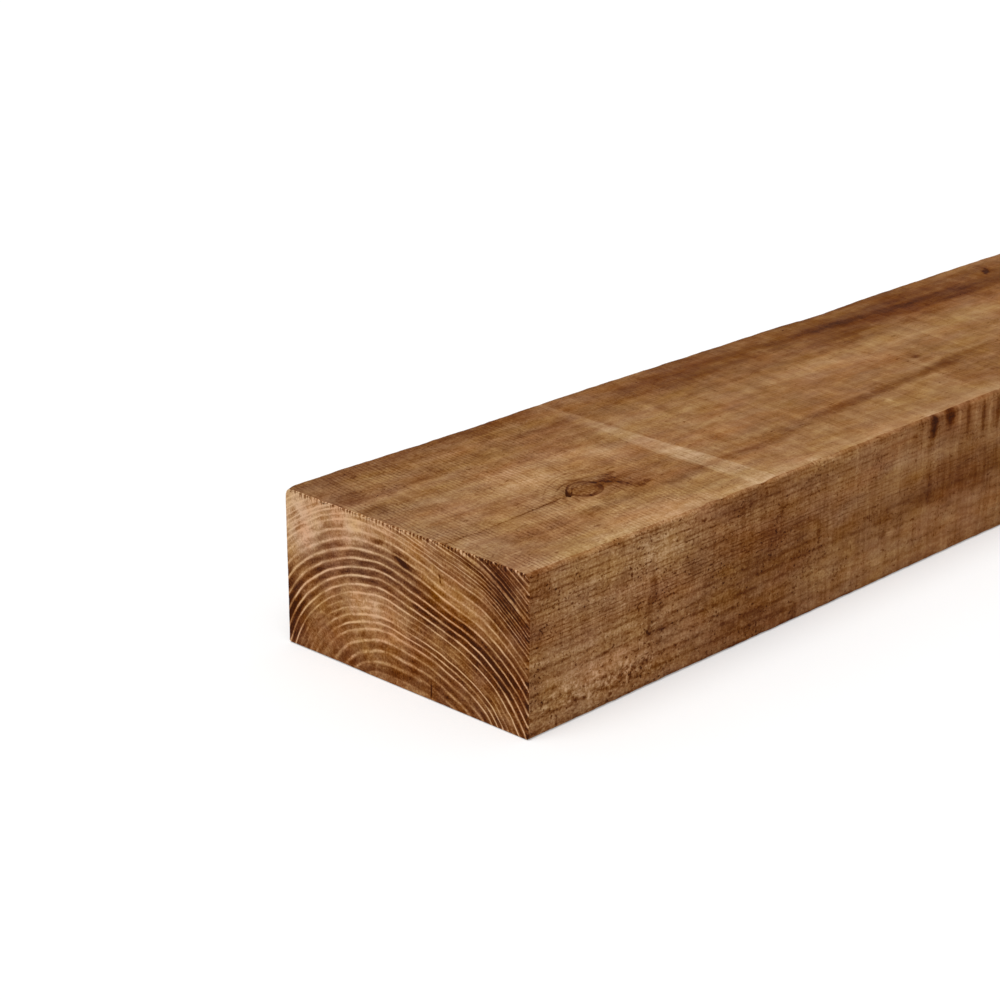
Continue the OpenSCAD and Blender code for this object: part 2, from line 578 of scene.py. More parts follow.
def crosscut_end(wood):
    """Crosscut treated pine: pale hard latewood lines stand out of dark, porous, stain-soaked earlywood."""
    material = bpy.data.materials.new("crosscut_treated_pine")
    material.use_nodes = True
    tree = material.node_tree
    tree.nodes.clear()
    put = partial(add, tree)
    g = grain_field(tree)

    # Along the rings and across them, for everything that follows the growth
    angle = put("Math", (g.across, g.dv), operation="ARCTAN2")
    arc = put("Math", (angle, 90), operation="MULTIPLY")
    polar = put("CombineXYZ", (arc, g.radius))

    patch = put("TexNoise", {"Vector": g.mm, "Scale": 1 / 26, "Detail": 4, "Roughness": 0.55})
    patch = put("MapRange", (patch, 0.3, 0.7, -1, 1), clamp=False)
    base = put("Math", (patch, 0.05, 0.415), operation="MULTIPLY_ADD")
    base = lay_marks(tree, base, g.ragged, "end", END_MARKS)
    mottle_at = put("VectorMath", (polar, (1 / 9, 1 / 3.2, 1)), operation="MULTIPLY")
    mottle = put("TexNoise", {"Vector": mottle_at, "Scale": 1, "Detail": 3, "Roughness": 0.6},
                 noise_dimensions="2D")
    mottle = put("MapRange", (mottle, 0.3, 0.7, -1, 1), clamp=False)

    # Rays are fine dashes that run out from the pith, and grit is the broken mouths of the cells
    ray_at = put("VectorMath", (polar, (1 / 0.85, 1 / 3.2, 1)), operation="MULTIPLY")
    ray = put("TexNoise", {"Vector": ray_at, "Scale": 1, "Detail": 2}, noise_dimensions="2D")
    ray = put("MapRange", (ray, 0.3, 0.7, -1, 1), clamp=False)
    grit = put("TexNoise", {"Vector": g.mm, "Scale": 1 / 1.2, "Detail": 3, "Roughness": 0.7})
    grit = put("MapRange", (grit, 0.3, 0.7, -1, 1), clamp=False)

    # Lines fade in and out along each ring, and are lost in the pale and the torn zones
    fade_at = put("VectorMath", (polar, (1 / 22, 1 / 5, 1)), operation="MULTIPLY")
    fade = put("TexNoise", {"Vector": fade_at, "Scale": 1, "Detail": 2}, noise_dimensions="2D")
    fade = put("MapRange", (fade, 0.32, 0.62, 0.45, 1.15))
    torn = put("Mapping", (g.ragged, (0, 68, 10), (0, 0, 0), (MARK_DEPTH, 20, 26)), vector_type="TEXTURE")
    torn = put("VectorMath", (torn,), operation="LENGTH", out=1)
    torn = put("MapRange", (torn, 0.5, 1.1, 0.2, 1))
    fade = put("Math", (fade, torn), operation="MULTIPLY")
    clear = put("Math", (g.clear, fade), operation="MULTIPLY")
    line = put("MapRange", (g.phase, 0.17, 0.05, 0, 1), interpolation_type="SMOOTHSTEP")
    combed = put("Math", (ray, 0.10, g.phase), operation="MULTIPLY_ADD")
    early = put("MapRange", (combed, 0.12, 0.32, 0, 1), interpolation_type="SMOOTHSTEP")
    pale = put("Math", (line, clear), operation="MULTIPLY")
    soak = put("Math", (early, g.soak), operation="MULTIPLY")
    soak = put("Math", (soak, fade), operation="MULTIPLY")
    # A line climbs to the same pale tone out of dark and out of light wood
    climb = put("MapRange", (base, 0.25, 0.62, 0.40, 0.12))
    tone = put("Math", (pale, climb, base), operation="MULTIPLY_ADD")
    tone = put("Math", (soak, -0.16, tone), operation="MULTIPLY_ADD")
    tone = put("Math", (mottle, 0.075, tone), operation="MULTIPLY_ADD")
    tone = put("Math", (ray, 0.05, tone), operation="MULTIPLY_ADD")
    tone = put("Math", (grit, 0.075, tone), operation="MULTIPLY_ADD")

    # Ticks of torn fibre, about one for each tooth, where the saw broke out along the upper edge
    slip = put("TexNoise", {"W": g.y, "Scale": 1 / 7, "Detail": 2}, noise_dimensions="1D")
    tick = put("Math", (slip, 7, g.y), operation="MULTIPLY_ADD")
    tick = put("Math", (tick, 2 * math.pi / 2.8), operation="MULTIPLY")
    tick = put("Math", (tick,), operation="SINE")
    tear = put("TexNoise", {"W": g.y, "Scale": 1 / 2.2, "Detail": 2}, noise_dimensions="1D")
    deep = put("MapRange", (tear, 0.3, 0.7, 1.4, 5.0))
    depth = put("Math", (TOP, g.z), operation="SUBTRACT")
    rim = put("Math", (depth, deep), operation="DIVIDE")
    rim = put("MapRange", (rim, 1, 0.45, 0, 1), interpolation_type="SMOOTHSTEP")
    tick = put("Math", (tear, 2.4, tick), operation="MULTIPLY_ADD")
    tick = put("MapRange", (tick, 0.4, 2.0, -0.22, 0.09), interpolation_type="SMOOTHSTEP")
    tone = put("Math", (tick, rim, tone), operation="MULTIPLY_ADD")
    # Nicks down the front edge
    nick = put("TexNoise", {"W": g.z, "Scale": 1 / 4.5, "Detail": 2}, noise_dimensions="1D")
    nick = put("MapRange", (nick, 0.52, 0.64, 0, -0.2), interpolation_type="SMOOTHSTEP")
    rim = put("MapRange", (g.y, FRONT + 3.2, FRONT + 1.4, 0, 1), interpolation_type="SMOOTHSTEP")
    tone = put("Math", (nick, rim, tone), operation="MULTIPLY_ADD")
    # Painted shade in the end's checks
    tone = lay_marks(tree, tone, g.fine, "end", END_CRACK_SHADE)
    height = put("Math", (pale, 0.5, grit), operation="MULTIPLY_ADD")
    fresh = lay_marks(tree, 1.0, g.ragged, "end", END_FRESHNESS)
    finish_wood(g, material, wood, tone, fresh, END_LEAN, height, 0.06)
    return material


def bandsawn_face(wood, name, sawing, upright):
    """Bandsawn treated pine: matt warm brown fibre, streaked along the grain and scored by the saw."""
    material = bpy.data.materials.new(name)
    material.use_nodes = True
    tree = material.node_tree
    tree.nodes.clear()
    put = partial(add, tree)
    g = grain_field(tree)

    # Broad stain, streaks along the grain, mottling, single fibres and their fuzz
    broad_at = put("VectorMath", (g.mm, (1 / 130, 1 / 46, 1 / 46)), operation="MULTIPLY")
    broad = put("TexNoise", {"Vector": broad_at, "Scale": 1, "Detail": 3})
    broad = put("MapRange", (broad, 0.3, 0.7, -1, 1), clamp=False)
    tone = put("Math", (broad, 0.045, 0.43), operation="MULTIPLY_ADD")
    streak_at = put("VectorMath", (g.loose, (1 / 260, 1 / 12, 1 / 12)), operation="MULTIPLY")
    streak = put("TexNoise", {"Vector": streak_at, "Scale": 1, "Detail": 4, "Roughness": 0.55})
    streak = put("MapRange", (streak, 0.3, 0.7, -1, 1), clamp=False)
    tone = put("Math", (streak, sawing.streak, tone), operation="MULTIPLY_ADD")
    mottle_at = put("VectorMath", (g.mm, (1 / 16, 1 / 7, 1 / 7)), operation="MULTIPLY")
    mottle = put("TexNoise", {"Vector": mottle_at, "Scale": 1, "Detail": 4, "Roughness": 0.6})
    mottle = put("MapRange", (mottle, 0.3, 0.7, -1, 1), clamp=False)
    tone = put("Math", (mottle, sawing.mottle, tone), operation="MULTIPLY_ADD")
    # Fine texture is crispest near the end, where the saw bit hardest
    crisp = put("MapRange", (g.x, 110, 380, 1, 0.4))
    fibre_at = put("VectorMath", (g.loose, (1 / 14, 1 / 1.2, 1 / 1.2)), operation="MULTIPLY")
    fibre = put("TexNoise", {"Vector": fibre_at, "Scale": 1, "Detail": 3, "Roughness": 0.6})
    fibre = put("MapRange", (fibre, 0.3, 0.7, -1, 1), clamp=False)
    depth = put("Math", (crisp, sawing.fibre), operation="MULTIPLY")
    tone = put("Math", (fibre, depth, tone), operation="MULTIPLY_ADD")
    fuzz = put("TexNoise", {"Vector": g.mm, "Scale": 1 / 1.5, "Detail": 2, "Roughness": 0.6})
    fuzz = put("MapRange", (fuzz, 0.3, 0.7, -1, 1), clamp=False)
    depth = put("Math", (crisp, sawing.fuzz), operation="MULTIPLY")
    tone = put("Math", (fuzz, depth, tone), operation="MULTIPLY_ADD")

    # Saw marks: a ripple across the face at the blade's pitch, clearer in patches, over random scores
    slant = put("Math", (g.y, -0.15, g.x), operation="MULTIPLY_ADD")
    drift = put("TexNoise", {"Vector": g.mm, "Scale": 1 / 40, "Detail": 1})
    slant = put("Math", (drift, 6, slant), operation="MULTIPLY_ADD")
    turns = put("Math", (slant, 2 * math.pi * MM / wood.saw_pitch), operation="MULTIPLY")
    ripple = put("Math", (turns,), operation="SINE")
    ripple = put("MapRange", (ripple, -1, -0.1, -1, 0.25), interpolation_type="SMOOTHSTEP")
    patch = put("TexNoise", {"Vector": g.mm, "Scale": 1 / 30, "Detail": 2})
    patch = put("MapRange", (patch, 0.40, 0.62, 0.1, 1))
    ripple = put("Math", (ripple, patch), operation="MULTIPLY")
    ripple_depth = put("MapRange", (g.x, 70, 230, sawing.ripple, 0.3 * sawing.ripple))
    tone = put("Math", (ripple, ripple_depth, tone), operation="MULTIPLY_ADD")
    score_at = put("CombineXYZ", (slant, g.y, g.z))
    score_at = put("VectorMath", (score_at, (1 / 3.6, 1 / 48, 1 / 48)), operation="MULTIPLY")
    score = put("TexNoise", {"Vector": score_at, "Scale": 1, "Detail": 3, "Roughness": 0.6})
    score = put("MapRange", (score, 0.3, 0.7, -1, 1), clamp=False)
    tone = put("Math", (score, sawing.score, tone), operation="MULTIPLY_ADD")
    sweep_at = put("CombineXYZ", (slant, g.y, g.z))
    sweep_at = put("VectorMath", (sweep_at, (1 / 11, 1 / 130, 1 / 130)), operation="MULTIPLY")
    sweep = put("TexNoise", {"Vector": sweep_at, "Scale": 1, "Detail": 2, "Roughness": 0.6})
    sweep = put("MapRange", (sweep, 0.3, 0.7, -0.024, 0.024), clamp=False)
    tone = put("Math", (sweep, tone), operation="ADD")

    # Pits where fibre tore out, thick in places, and a few short dark dashes along the grain
    pit = put("TexNoise", {"Vector": g.mm, "Scale": 1 / 1.9, "Detail": 1})
    thick = put("TexNoise", {"Vector": g.mm, "Scale": 1 / 21, "Detail": 2})
    bar = put("MapRange", (thick, 0.35, 0.65, 0.74, 0.60))
    pit = put("Math", (pit, bar), operation="SUBTRACT")
    pit = put("MapRange", (pit, 0, 0.07, 0, 1), interpolation_type="SMOOTHSTEP")
    depth = put("Math", (crisp, sawing.pit), operation="MULTIPLY")
    tone = put("Math", (pit, depth, tone), operation="MULTIPLY_ADD")
    dash_at = put("VectorMath", (g.loose, (1 / 8, 1 / 1.5, 1 / 1.5)), operation="MULTIPLY")
    dash = put("TexNoise", {"Vector": dash_at, "Scale": 1, "Detail": 0})
    dash = put("MapRange", (dash, 0.76, 0.86, 0, -0.13), interpolation_type="SMOOTHSTEP")
    tone = put("Math", (dash, tone), operation="ADD")

    if upright:
        tone = lay_marks(tree, tone, g.ragged, "front", FRONT_STAINS)
        tone = lay_marks(tree, tone, g.loose, "front", FRONT_TEARS)
        fleck = put("TexNoise", {"Vector": g.mm, "Scale": 1 / 2.6, "Detail": 2, "Roughness": 0.6})
        fleck = put("MapRange", (fleck, 0.36, 0.64, -0.09, 0.15), clamp=False)
        zone = lay_marks(tree, 0.0, g.ragged, "front", FRONT_FLECKS)
        tone = put("Math", (fleck, zone, tone), operation="MULTIPLY_ADD")
        # The front face took up more stain away from the near end
        away = put("MapRange", (g.x, 80, 240, 0, -0.018), interpolation_type="SMOOTHSTEP")
        tone = put("Math", (away, tone), operation="ADD")
    else:
        tone = lay_marks(tree, tone, g.ragged, "top", TOP_MARKS)
        tone = lay_marks(tree, tone, g.loose, "top", TOP_STREAKS)
        shred = put("TexNoise", {"Vector": g.mm, "Scale": 1 / 4.5, "Detail": 4, "Roughness": 0.65})
        shred = put("MapRange", (shred, 0.40, 0.60, 0.35, 1.25))
        zone = lay_marks(tree, 0.0, g.loose, "top", TOP_TEARS)
        tone = put("Math", (shred, zone, tone), operation="MULTIPLY_ADD")
        # Painted shade: darken the checks and the void where shade falls inside them
        tone = lay_marks(tree, tone, g.fine, "top", TOP_CRACK_SHADE)
        # The top took up a little more stain away from the near end too
        away = put("MapRange", (g.x, 420, 640, 0, -0.05), interpolation_type="SMOOTHSTEP")
        tone = put("Math", (away, tone), operation="ADD")
        # Pale band where a spacer lay across the top while the stain dried
        lean = put("MapRange", (g.y, -20, 90, 0, 13))
        start = put("Math", (g.x, lean), operation="SUBTRACT")
        start = put("MapRange", (start, 199.5, 206, 0, 1), interpolation_type="SMOOTHSTEP")
        stop = put("MapRange", (g.x, 223, 220, 0, 1), interpolation_type="SMOOTHSTEP")
        band = put("Math", (start, stop), operation="MULTIPLY")
        behind = put("MapRange", (g.y, -10, 70, 0.115, 0.045), interpolation_type="SMOOTHSTEP")
        before = put("MapRange", (g.y, -98, -45, 0.55, 1), interpolation_type="SMOOTHSTEP")
        band = put("Math", (band, behind), operation="MULTIPLY")
        band = put("Math", (band, before), operation="MULTIPLY")
        on_top = put("MapRange", (g.z, TOP - 3, TOP - 1, 0, 1))
        tone = put("Math", (band, on_top, tone), operation="MULTIPLY_ADD")

    # Along the long arrises an uneven change of tone, mostly darker as painted shade of the roundings with
    # paler rubbed spots, and a paler strip along the front of the wide faces that widens away from the end
    if not upright:
        strip = put("MapRange", (g.y, FRONT + 17, FRONT + 5, 0, 0.09), interpolation_type="SMOOTHSTEP")
        grown = put("MapRange", (g.x, 110, 215, 0.25, 1), interpolation_type="SMOOTHSTEP")
        tone = put("Math", (strip, grown, tone), operation="MULTIPLY_ADD")
    mid_z = put("Math", (g.z, TOP / 2), operation="SUBTRACT")
    mid_z = put("Math", (mid_z,), operation="ABSOLUTE")
    mid_y = put("Math", (g.y,), operation="ABSOLUTE")
    inset = put("Math", (mid_y, mid_z), operation="ADD")
    arris = BACK + TOP / 2
    worn = put("MapRange", (inset, arris - 4.5, arris - 1.5, 0, 1), interpolation_type="SMOOTHSTEP")
    # Painted shade and wear: near the arrises the tone goes mostly darker, in places paler
    rub = put("MapRange", (mottle, -1, 1, -0.05, 0.03))
    tone = put("Math", (worn, rub, tone), operation="MULTIPLY_ADD")

    # Knots: dark bark round a live branch, which shows its own rings; dead ones are dark through
    outside = put("MapRange", (g.live, 0.5, -0.5, 0, 1), interpolation_type="SMOOTHSTEP")
    shell = put("MapRange", (g.core, -0.8, 0.6, 0, -0.23), interpolation_type="SMOOTHSTEP")
    flake = put("TexNoise", {"Vector": g.mm, "Scale": 1 / 6, "Detail": 2})
    flake = put("MapRange", (flake, 0.38, 0.58, 0.6, 1.1))
    shell = put("Math", (shell, flake), operation="MULTIPLY")
    tone = put("Math", (outside, shell, tone), operation="MULTIPLY_ADD")
    halo = put("MapRange", (g.live, 9, 0, 0, -0.045), interpolation_type="SMOOTHSTEP")
    tone = put("Math", (halo, tone), operation="ADD")
    inside = put("MapRange", (g.core, 0.3, -0.8, 0, 1), interpolation_type="SMOOTHSTEP")
    turn = put("Math", (g.heart, 2.4), operation="MULTIPLY")
    turn = put("Math", (turn,), operation="SINE")
    turn = put("Math", (turn, 0.035, -0.065), operation="MULTIPLY_ADD")
    tone = put("Math", (inside, turn, tone), operation="MULTIPLY_ADD")
    rot = put("MapRange", (g.dead, 3.0, -2.0, 0, -0.17), interpolation_type="SMOOTHSTEP")
    tone = put("Math", (rot, tone), operation="ADD")

    # Growth lines, broken up along the grain; laid last, as they take the longest to work out
    line = put("MapRange", (g.phase, 0.24, 0.46, 0.3, -1), interpolation_type="SMOOTHSTEP")
    gap_at = put("VectorMath", (g.mm, (1 / 8, 1 / 5, 1 / 5)), operation="MULTIPLY")
    gap = put("TexNoise", {"Vector": gap_at, "Scale": 1, "Detail": 3, "Roughness": 0.6})
    gap = put("MapRange", (gap, 0.40, 0.60, 0.1, 1.15))
    line = put("Math", (line, gap), operation="MULTIPLY")
    line = put("Math", (line, crisp), operation="MULTIPLY")
    if not upright:
        # They show where they turn round a branch
        bend = put("MapRange", (g.live, 24, 2, 1, 7), interpolation_type="SMOOTHSTEP")
        line = put("Math", (line, bend), operation="MULTIPLY")
    tone = put("Math", (line, sawing.line, tone), operation="MULTIPLY_ADD")

    height = put("Math", (ripple, 0.6, fibre), operation="MULTIPLY_ADD")
    height = put("Math", (pit, -1.5, height), operation="MULTIPLY_ADD")
    # The narrow faces kept their colour; the wide ones greyed at the near end and under the spacer
    fresh = 1.0
    if not upright:
        fresh = put("MapRange", (g.x, 0, 70, 0.935, 0.985))
        fresh = put("Math", (band, -0.6, fresh), operation="MULTIPLY_ADD")
    finish_wood(g, material, wood, tone, fresh, NARROW_LEAN if upright else WIDE_LEAN, height, 0.10)
    return material


def finish_wood(g, material, wood, tone, fresh, lean_colours, height, depth):
    """Colour the wood by its tone, the mean of its sRGB values, and raise its height in millimetres."""
    tree = material.node_tree
    put = partial(add, tree)
    shades = ((0.10, wood.pore), (0.20, wood.early), (0.31, wood.dark), (0.42, wood.body),
              (0.53, wood.pale), (0.62, wood.late), (0.72, wood.bare))
    colour = put("ValToRGB", (tone,), stops=[(place, (*shade, 1)) for place, shade in shades])
    # The stain leans to gold in some places and to red in others
    lean_at = put("VectorMath", (g.mm, (1 / 60, 1 / 22, 1 / 22)), operation="MULTIPLY")
    lean = put("TexNoise", {"Vector": lean_at, "Scale": 1, "Detail": 3})
    tint = put("ValToRGB", (lean,), stops=[
        (place, linear(shade)) for place, shade in zip((0.30, 0.5, 0.70), lean_colours)])
    colour = put("Mix", {"Factor": 1.0, "A": colour, "B": tint}, data_type="RGBA", blend_type="MULTIPLY",
                 out="Result")
    # It is fresher in some places and greyer in others
    grey_at = put("VectorMath", (g.mm, (1 / 34, 1 / 14, 1 / 14), (7, 3, 5)), operation="MULTIPLY_ADD")
    grey = put("TexNoise", {"Vector": grey_at, "Scale": 1, "Detail": 3, "Roughness": 0.55})
    grey = put("MapRange", (grey, 0.3, 0.7, -0.045, 0.045), clamp=False)
    grey = put("Math", (grey, fresh), operation="ADD")
    colour = put("HueSaturation", {"Saturation": grey, "Color": colour})
    bump = put("Bump", {"Strength": 1.0, "Distance": depth * MM, "Height": height})
    # Broken fibre scatters nearly all of the gloss that smooth wood would have
    surface = put("BsdfPrincipled", {
        "Base Color": colour, "Roughness": 0.85, "IOR": 1.5, "Specular IOR Level": 0.05, "Normal": bump})
    put("OutputMaterial", (surface,), out=())


# Mesh of the baulk: steps round each arris, columns on the faces, and how much finer the near end is
ARRIS_STEPS = 4
WIDE_COLUMNS = 52
HIGH_COLUMNS = 28
END_FINENESS = 3
NEAR_RINGS = (0.5, 1.1, 2.0, 3.2, 4.8)
FIRST_STATION = 7.0


def waves(points, lengths, count, seed):
    """Smooth random relief of about -1 to 1 with the given wavelengths along x, y and z."""
    rng = np.random.default_rng(seed)
    heading = rng.normal(size=(count, 3))
    heading /= np.linalg.norm(heading, axis=1, keepdims=True)
    heading *= rng.uniform(0.6, 1.6, (count, 1))
    phase = rng.uniform(0, 2 * math.pi, count)
    turns = points @ (2 * math.pi * heading / np.array(lengths)).T + phase
    return np.cos(turns).sum(axis=-1) / math.sqrt(count)


def spread(start, stop, count, focus, gain):
    """Count + 1 places from start to stop that crowd together round a focus."""
    fine = np.linspace(start, stop, 400)
    density = 1 + gain * np.exp(-((fine - focus) / 24) ** 2)
    grown = np.concatenate([[0], np.cumsum((density[1:] + density[:-1]) / 2)])
    return np.interp(np.linspace(0, grown[-1], count + 1), grown, fine)


def section_outline(shape):
    """Points round the section and their outward normals, from the front bottom arris up and over."""
    low = shape.bottom_radius / MM
    front = shape.front_top_radius / MM
    back = shape.back_top_radius / MM
    top_places = spread(FRONT + front, BACK - back, WIDE_COLUMNS, CHECK_COLUMN, 1.6)
    nearest = int(np.abs(top_places - CHECK_COLUMN).argmin())
    top_places[nearest - 1:nearest + 2] = CHECK_COLUMN + np.array((-0.8, 0, 0.8))
    front_places = np.linspace(low, TOP - front, HIGH_COLUMNS + 1)
    back_places = np.linspace(TOP - back, low, HIGH_COLUMNS + 1)
    bottom_places = np.linspace(BACK - low, FRONT + low, WIDE_COLUMNS + 1)
    corners = (
        (FRONT + low, low, low, 270, [(FRONT, z) for z in front_places[1:-1]]),
        (FRONT + front, TOP - front, front, 180, [(y, TOP) for y in top_places[1:-1]]),
        (BACK - back, TOP - back, back, 90, [(BACK, z) for z in back_places[1:-1]]),
        (BACK - low, low, low, 0, [(y, 0) for y in bottom_places[1:-1]]),
    )
    points = []
    normals = []
    for y, z, radius, start, flat in corners:
        for angle in np.radians(start - np.linspace(0, 90, ARRIS_STEPS + 1)):
            normals.append((math.cos(angle), math.sin(angle)))
            points.append((y + radius * normals[-1][0], z + radius * normals[-1][1]))
        normals += [normals[-1]] * len(flat)
        points += flat
    return np.array(points), np.array(normals)


def finer(loop, times):
    """A closed loop with each of its segments cut into so many."""
    ahead = np.roll(loop, -1, axis=0)
    return np.concatenate([loop + (ahead - loop) * k / times for k in range(times)], axis=1).reshape(-1, 2)


def stations():
    """Places along the timber, close together where the camera sees it best and round the knots."""
    places = [FIRST_STATION]
    knots = [knot[0] for knot in LIVE_KNOTS + DEAD_KNOTS]
    while places[-1] < LENGTH - 9:
        x = places[-1]
        step = np.interp(x, (0, 200, 320, 760, 1000), (1.8, 1.9, 2.9, 5.5, 17))
        step = min([step] + [3.0 + 0.2 * abs(x - knot) for knot in knots])
        if x < LENGTH / 2 <= x + step:
            step = LENGTH / 2 - x
        places.append(x + max(step, 0.3))
    return np.array(places[:-1] + [LENGTH - 8, LENGTH - 4, LENGTH - 1.5, LENGTH - 0.5])


def arris_wear(points, depth):
    """How deep each point of the skin is worn or chipped because it is near a long arris."""
    rng = np.random.default_rng(11)
    worn = np.zeros(points.shape[:-1])
    x = points[..., 0]
    for y, z, share in ((FRONT, TOP, 1.0), (BACK, TOP, 0.2), (FRONT, 0, 0.2), (BACK, 0, 0.35)):
        away = np.abs(points[..., 1] - y) + np.abs(points[..., 2] - z)
        along = np.stack([x, np.full_like(x, y), np.full_like(x, z)], axis=-1)
        rub = 0.35 + 0.35 * waves(along, (90, 1e6, 1e6), 12, 5 + int(y + z) % 97)
        wear = np.clip(rub, 0, None) * depth * share
        for _ in range(46):
            at = rng.uniform(0, LENGTH)
            reach = rng.uniform(2.5, 9)
            bite = rng.uniform(0.2, 1.3) * depth * share
            wear = np.maximum(wear, bite * np.exp(-((x - at) / reach) ** 4))
        worn += wear * np.exp(-(away / (1.6 + 1.4 * wear)) ** 2)
    corner = np.abs(points[..., 1] - BACK) + np.abs(points[..., 2] - TOP)
    worn += 1.3 * np.exp(-(corner / 6.0) ** 2 - ((x - 520) / 34) ** 2)
    worn += 1.8 * np.exp(-(corner / 3.0) ** 2) * np.clip(1 - x / 9, 0, 1) ** 2
    return worn


def skin_relief(points, shape):
    """How far each point of the four long faces stands out from flat."""
    x, y, z = points[..., 0], points[..., 1], points[..., 2]
    height = shape.saw_wander / MM * waves(points, (260, 90, 90), 14, 1)
    height += shape.washboard / MM * waves(points, (17, 400, 400), 14, 2)
    height += 0.05 * waves(points, (9, 7, 7), 20, 3)
    height -= arris_wear(points, shape.wear / MM)
    on_top = z > TOP - 1
    # Knots stand a little proud inside a groove of shrunken bark
    for knot_x, knot_y, knot_z, radius in LIVE_KNOTS + DEAD_KNOTS:
        face = np.abs(z - TOP) < 1 if knot_z == TOP else np.abs(y - knot_y) < 1
        root, axis = branch_axis(knot_x, knot_y, knot_z)
        wall = np.linalg.norm(np.cross(points - np.array(root), np.array(axis)), axis=-1) - radius
        height += face * (0.25 * (wall < -1) - 0.45 * np.exp(-(wall / 1.6) ** 2))
    void = np.maximum(np.abs(x + y - VOID_X - VOID_Y) / VOID_LONG,
                      np.abs(x - y - VOID_X + VOID_Y) / VOID_SHORT)
    height -= on_top * VOID_DEPTH * np.clip(1.4 - void, 0, 1)
    open_check = np.interp(x, (0, 60, 95, 107, 112), (0.25, 0.3, 0.7, 0.9, 0))
    off_check = np.abs(y - np.interp(x, CHECK_X, CHECK_Y))
    height -= on_top * open_check * np.clip(1 - off_check / 0.6, 0, 1)
    # A lifted splinter on the front arris
    splinter = np.exp(-((x - 265) / 8) ** 4 - ((y + 94) / 4) ** 4)
    height += on_top * 0.8 * splinter
    # The bottom lies flat on the ground
    return np.where(z < 1, np.minimum(height, 0), height)


def end_tearing(points, seed):
    """How far fibre broke out along the upper edge of a crosscut end."""
    rng = np.random.default_rng(seed)
    y = points[..., 1]
    torn = np.zeros(y.shape)
    at = FRONT
    while at < BACK:
        at += rng.uniform(2.2, 5.2)
        depth = rng.uniform(0.1, 1.1)
        reach = rng.uniform(0.7, 1.5)
        torn = np.maximum(torn, depth * np.clip(1.2 - np.abs(y - at) / reach, 0, 1))
    return torn * (points[..., 2] > TOP - 1)


def end_grid(rim, columns, rows):
    """Fill a closed rim with a grid, from its four sides: front going up, top, back and bottom."""
    half = len(rim) // 2
    ring = np.concatenate([rim, rim[:1]])
    front = ring[:rows + 1]
    top = ring[rows:half + 1]
    back = ring[half:half + rows + 1][::-1]
    bottom = ring[half + rows:][::-1]
    s = np.linspace(0, 1, columns + 1)[:, None, None]
    t = np.linspace(0, 1, rows + 1)[None, :, None]
    across = (1 - s) * front[None] + s * back[None]
    upward = (1 - t) * bottom[:, None] + t * top[:, None]
    corners = ((1 - s) * (1 - t) * front[0] + (1 - s) * t * front[-1]
               + s * (1 - t) * back[0] + s * t * back[-1])
    return across + upward - corners


